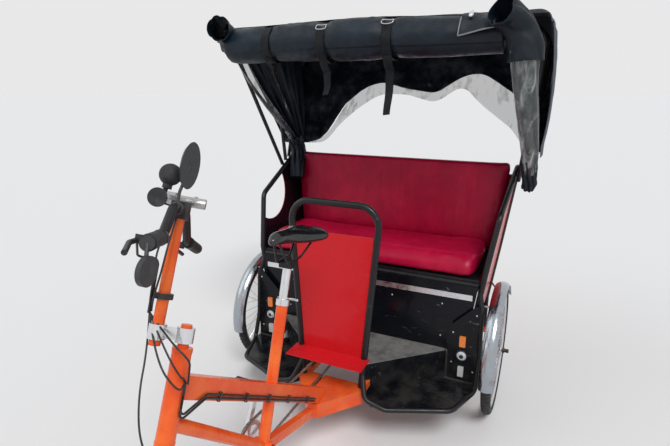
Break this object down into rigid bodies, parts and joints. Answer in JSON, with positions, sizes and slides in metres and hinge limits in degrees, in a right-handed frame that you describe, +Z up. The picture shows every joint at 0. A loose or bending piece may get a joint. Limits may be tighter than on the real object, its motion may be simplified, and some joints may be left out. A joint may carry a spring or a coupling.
{
  "type": "cycle rickshaw",
  "caption": "Three-wheeled pedal rickshaw with a steered front wheel, driver's saddle and a hooded two-seat bench between its rear wheels.",
  "frame": {"origin": "on the ground below the middle of the vehicle's length and width", "axes": "+X to the vehicle's left, +Y to its rear, +Z up; it drives towards -Y"},
  "size_m": [1.47, 2.5124, 1.822],
  "materials": {
    "alloy": "cast and brushed",
    "amber": "amber lens",
    "black_panel": "gloss black",
    "black_tube": "satin black powder coat, worn at edges",
    "clear_vinyl": "creased clear vinyl rolled up",
    "crimson_cover": "coated fabric",
    "floor_cover": "grey floor sheet",
    "frame_paint": "bright orange-red gloss paint, worn",
    "hood_cloth": "coated cloth",
    "polished": "polished",
    "red_lens": "red lens",
    "red_panel": "gloss red",
    "rubber": "matt",
    "saddle_cover": "worn black",
    "steel": "zinc plated",
    "tyre": "black",
    "white_lens": "white lens"
  },
  "bodies": {
    "frame": {"head_tube": "frame_paint", "bottom_bracket": "frame_paint", "seat_tube": "frame_paint", "main_beam": "frame_paint", "down_tube": "frame_paint", "chassis_yoke": "frame_paint", "seat_post": "alloy", "seat_collar": "alloy", "saddle_rails": "steel", "saddle": "saddle_cover", "chassis": "frame_paint", "rear_axle": "black_tube", "chain": "steel", "side_loops": "black_tube", "side_panels": "red_panel", "bench_frame": "black_tube", "seat_cushion": "crimson_cover", "backrest": "crimson_cover", "back_panel": "red_panel", "front_board": "black_panel", "trim_strip": "steel", "floor": "floor_cover", "step_rims": "black_tube", "step_trays": "black_panel", "lamp_panels": "black_panel", "marker_lamps": "white_lens", "reflectors": "amber", "tail_lamps": "red_lens", "driver_hoop": "black_tube", "driver_back_panel": "red_panel", "mudguards": "polished", "frame_cables": "rubber", "hood_bows": "black_tube", "hood_cover": "hood_cloth", "front_curtain_roll": "hood_cloth", "roll_straps": "hood_cloth", "side_curtain_left": "clear_vinyl", "side_curtain_right": "hood_cloth"},
    "steering": {"fork": "frame_paint", "stem": "alloy", "riser_tube": "frame_paint", "bar_clamp": "black_panel", "handlebar": "black_tube", "grips": "rubber", "brake_levers": "black_panel", "mirrors": "black_panel", "horn": "rubber", "bar_lamp": "steel", "bar_cables": "rubber"},
    "front_wheel_set": {"front_tyre": "tyre", "front_wheel": "alloy"},
    "rear_wheel_set_left": {"rear_tyre_left": "tyre", "rear_wheel_left": "alloy"},
    "rear_wheel_set_right": {"rear_tyre_right": "tyre", "rear_wheel_right": "alloy"},
    "cranks": {"crank_set": "alloy", "chainring": "steel"},
    "pedal_body_left": {"pedal_left": "rubber"},
    "pedal_body_right": {"pedal_right": "rubber"}
  },
  "joints": [
    {"name": "steering", "type": "hinge", "parent": "frame", "child": "steering", "pos_m": [0, -0.87977, 0.656], "axis": [0, 0.3843, 0.9232], "range_deg": [-12, 128]},
    {"name": "front_wheel_spin", "type": "hinge", "parent": "steering", "child": "front_wheel_set", "pos_m": [-0.03816, -1.05928, 0.28682], "axis": [0.5299, -0.7829, 0.3259], "continuous": true},
    {"name": "rear_wheel_left_spin", "type": "hinge", "parent": "frame", "child": "rear_wheel_set_left", "pos_m": [0.635, 0.58623, 0.305], "axis": [1, 0, 0], "continuous": true},
    {"name": "rear_wheel_right_spin", "type": "hinge", "parent": "frame", "child": "rear_wheel_set_right", "pos_m": [-0.635, 0.58623, 0.305], "axis": [1, 0, 0], "continuous": true},
    {"name": "crank_spin", "type": "hinge", "parent": "frame", "child": "cranks", "pos_m": [0, -0.45977, 0.322], "axis": [1, 0, 0], "continuous": true},
    {"name": "pedal_left_spin", "type": "hinge", "parent": "cranks", "child": "pedal_body_left", "pos_m": [0.13, -0.53958, 0.1719], "axis": [1, 0, 0], "continuous": true},
    {"name": "pedal_right_spin", "type": "hinge", "parent": "cranks", "child": "pedal_body_right", "pos_m": [-0.13, -0.37996, 0.4721], "axis": [1, 0, 0], "continuous": true}
  ]
}
